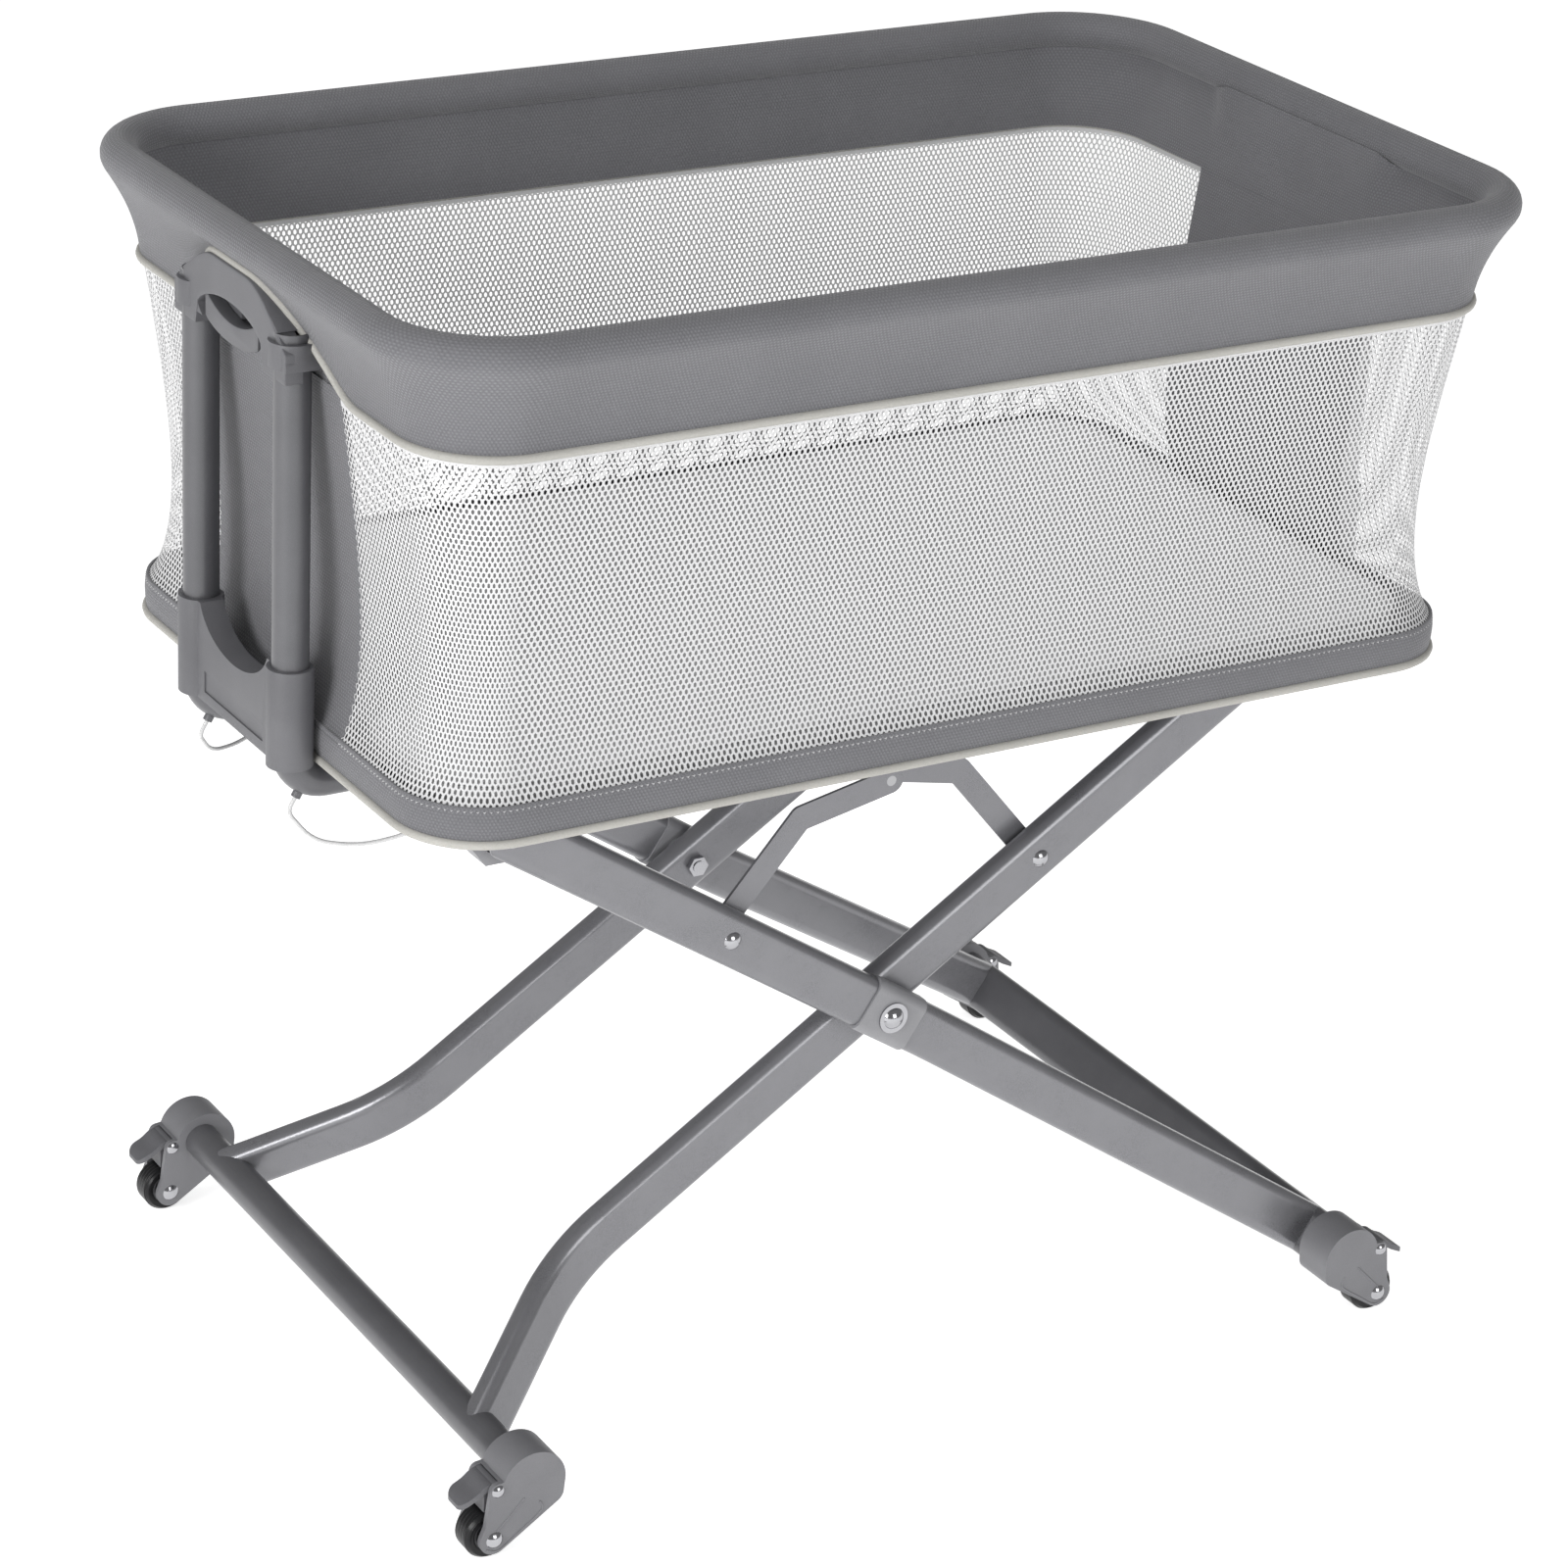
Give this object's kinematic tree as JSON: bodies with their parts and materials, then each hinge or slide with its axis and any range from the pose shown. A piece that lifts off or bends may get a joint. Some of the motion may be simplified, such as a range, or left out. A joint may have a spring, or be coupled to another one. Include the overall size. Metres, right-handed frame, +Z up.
{
  "type": "bassinet on stand",
  "caption": "Baby bassinet with padded rim and net sides on a folding cross-legged stand with braked casters.",
  "frame": {"origin": "on the floor under the middle of the bassinet", "axes": "+X along the length towards the foot end, +Y to the far side, +Z up"},
  "size_m": [0.927, 0.5944, 0.901],
  "materials": {
    "steel": "satin",
    "grey_fabric": "woven, padded at the rim",
    "piping": "smooth bias tape",
    "net": "open hexagonal net",
    "board": "matt",
    "mattress_cover": "knitted, quilted",
    "dark_paint": "satin paint",
    "silver_paint": "satin metallic paint",
    "dark_plastic": "fine moulded grain",
    "light_plastic": "moulded",
    "caster_plastic": "moulded",
    "chrome": "polished",
    "tyre": "smooth rubber",
    "cable": "clear sheath over wire"
  },
  "bodies": {
    "basket": {"rim_tube": "steel", "rim_cover": "grey_fabric", "rim_piping": "piping", "net_front": "net", "net_back": "net", "end_panels": "grey_fabric", "lower_band": "grey_fabric", "base_piping": "piping", "base_board": "board", "base_rails": "dark_paint", "post_tubes": "dark_paint", "post_fork_left": "dark_plastic", "post_fork_right": "dark_plastic", "end_housing_left": "dark_plastic", "end_housing_right": "dark_plastic", "slide_channels": "steel", "latch_guides": "dark_plastic", "release_cables": "cable", "cable_ferrules": "dark_plastic", "screws": "steel"},
    "mattress": {"mattress": "mattress_cover"},
    "outer_slider": {"outer_slide_blocks": "light_plastic", "outer_top_pins": "chrome"},
    "outer_frame": {"outer_leg_near": "silver_paint", "outer_leg_far": "silver_paint", "outer_crossbar": "dark_paint", "caster_housing_right_near": "caster_plastic", "caster_housing_right_far": "caster_plastic", "pivot_sleeves": "light_plastic", "pivot_bolts": "chrome", "caster_rivets_right": "chrome", "outer_link_rivets": "chrome"},
    "inner_frame": {"inner_leg_near": "silver_paint", "inner_leg_far": "silver_paint", "inner_crossbar": "dark_paint", "caster_housing_left_near": "caster_plastic", "caster_housing_left_far": "caster_plastic", "caster_rivets_left": "chrome", "inner_link_rivets": "chrome"},
    "inner_slider": {"inner_slide_blocks": "light_plastic", "inner_top_pins": "chrome"},
    "outer_links": {"outer_links": "silver_paint", "link_rod": "steel"},
    "inner_links": {"inner_links": "silver_paint"},
    "button_left": {"button_left": "dark_plastic"},
    "button_right": {"button_right": "dark_plastic"},
    "latches_left": {"latches_left": "steel"},
    "latches_right": {"latches_right": "steel"},
    "wheel_right_near": {"tyre_right_near": "tyre", "hub_right_near": "dark_plastic"},
    "brake_right_near": {"brake_lever_right_near": "dark_plastic"},
    "wheel_right_far": {"tyre_right_far": "tyre", "hub_right_far": "dark_plastic"},
    "brake_right_far": {"brake_lever_right_far": "dark_plastic"},
    "wheel_left_near": {"tyre_left_near": "tyre", "hub_left_near": "dark_plastic"},
    "brake_left_near": {"brake_lever_left_near": "dark_plastic"},
    "wheel_left_far": {"tyre_left_far": "tyre", "hub_left_far": "dark_plastic"},
    "brake_left_far": {"brake_lever_left_far": "dark_plastic"}
  },
  "joints": [
    {"name": "fold", "type": "hinge", "parent": "outer_slider", "child": "outer_frame", "pos_m": [-0.32029, 0, 0.496], "axis": [0, -1, 0], "range_deg": [0, 27]},
    {"name": "outer_slide", "type": "slide", "parent": "basket", "child": "outer_slider", "axis": [-1, 0, 0], "range_m": [0, 0.05972]},
    {"name": "cross_pivot", "type": "hinge", "parent": "outer_frame", "child": "inner_frame", "pos_m": [0, 0, 0.288], "axis": [0, 1, 0], "range_deg": [0, 54.1]},
    {"name": "inner_block_pivot", "type": "hinge", "parent": "inner_frame", "child": "inner_slider", "pos_m": [0.32029, 0, 0.496], "axis": [0, -1, 0], "range_deg": [0, 27.1]},
    {"name": "outer_link_pivot", "type": "hinge", "parent": "outer_frame", "child": "outer_links", "pos_m": [-0.1409, 0, 0.3795], "axis": [0, 1, 0], "range_deg": [0, 54.1]},
    {"name": "inner_link_pivot", "type": "hinge", "parent": "inner_frame", "child": "inner_links", "pos_m": [0.1409, 0, 0.3795], "axis": [0, -1, 0], "range_deg": [0, 54.1]},
    {"name": "mattress_lift", "type": "slide", "parent": "basket", "child": "mattress", "axis": [0, 0, 1], "range_m": [0, 0.3]},
    {"name": "button_press_left", "type": "slide", "parent": "basket", "child": "button_left", "axis": [0, 0, 1], "range_m": [0, 0.003], "stiffness_N_per_m": 600, "springref_m": -0.002},
    {"name": "latch_lift_left", "type": "slide", "parent": "basket", "child": "latches_left", "axis": [0, 0, 1], "range_m": [0, 0.0051]},
    {"name": "button_press_right", "type": "slide", "parent": "basket", "child": "button_right", "axis": [0, 0, 1], "range_m": [0, 0.003], "stiffness_N_per_m": 600, "springref_m": -0.002},
    {"name": "latch_lift_right", "type": "slide", "parent": "basket", "child": "latches_right", "axis": [0, 0, 1], "range_m": [0, 0.0051]},
    {"name": "wheel_spin_right_near", "type": "hinge", "parent": "outer_frame", "child": "wheel_right_near", "pos_m": [0.38955, -0.277, 0.019], "axis": [0, 1, 0], "continuous": true},
    {"name": "brake_press_right_near", "type": "hinge", "parent": "outer_frame", "child": "brake_right_near", "pos_m": [0.38755, -0.277, 0.0583], "axis": [0, 1, 0], "range_deg": [0, 15]},
    {"name": "wheel_spin_right_far", "type": "hinge", "parent": "outer_frame", "child": "wheel_right_far", "pos_m": [0.38955, 0.277, 0.019], "axis": [0, 1, 0], "continuous": true},
    {"name": "brake_press_right_far", "type": "hinge", "parent": "outer_frame", "child": "brake_right_far", "pos_m": [0.38755, 0.277, 0.0583], "axis": [0, 1, 0], "range_deg": [0, 15]},
    {"name": "wheel_spin_left_near", "type": "hinge", "parent": "inner_frame", "child": "wheel_left_near", "pos_m": [-0.38955, -0.277, 0.019], "axis": [0, 1, 0], "continuous": true},
    {"name": "brake_press_left_near", "type": "hinge", "parent": "inner_frame", "child": "brake_left_near", "pos_m": [-0.38755, -0.277, 0.0583], "axis": [0, -1, 0], "range_deg": [0, 15]},
    {"name": "wheel_spin_left_far", "type": "hinge", "parent": "inner_frame", "child": "wheel_left_far", "pos_m": [-0.38955, 0.277, 0.019], "axis": [0, 1, 0], "continuous": true},
    {"name": "brake_press_left_far", "type": "hinge", "parent": "inner_frame", "child": "brake_left_far", "pos_m": [-0.38755, 0.277, 0.0583], "axis": [0, -1, 0], "range_deg": [0, 15]}
  ],
  "couplings": [
    {"joint": "outer_slide", "follows": "fold", "m_per_rad": 0.12631},
    {"joint": "cross_pivot", "follows": "fold", "ratio": 2},
    {"joint": "inner_block_pivot", "follows": "fold", "ratio": 1},
    {"joint": "outer_link_pivot", "follows": "fold", "ratio": 2},
    {"joint": "inner_link_pivot", "follows": "fold", "ratio": 2},
    {"joint": "latch_lift_left", "follows": "button_press_left", "ratio": 1.6667},
    {"joint": "latch_lift_right", "follows": "button_press_right", "ratio": 1.6667}
  ]
}
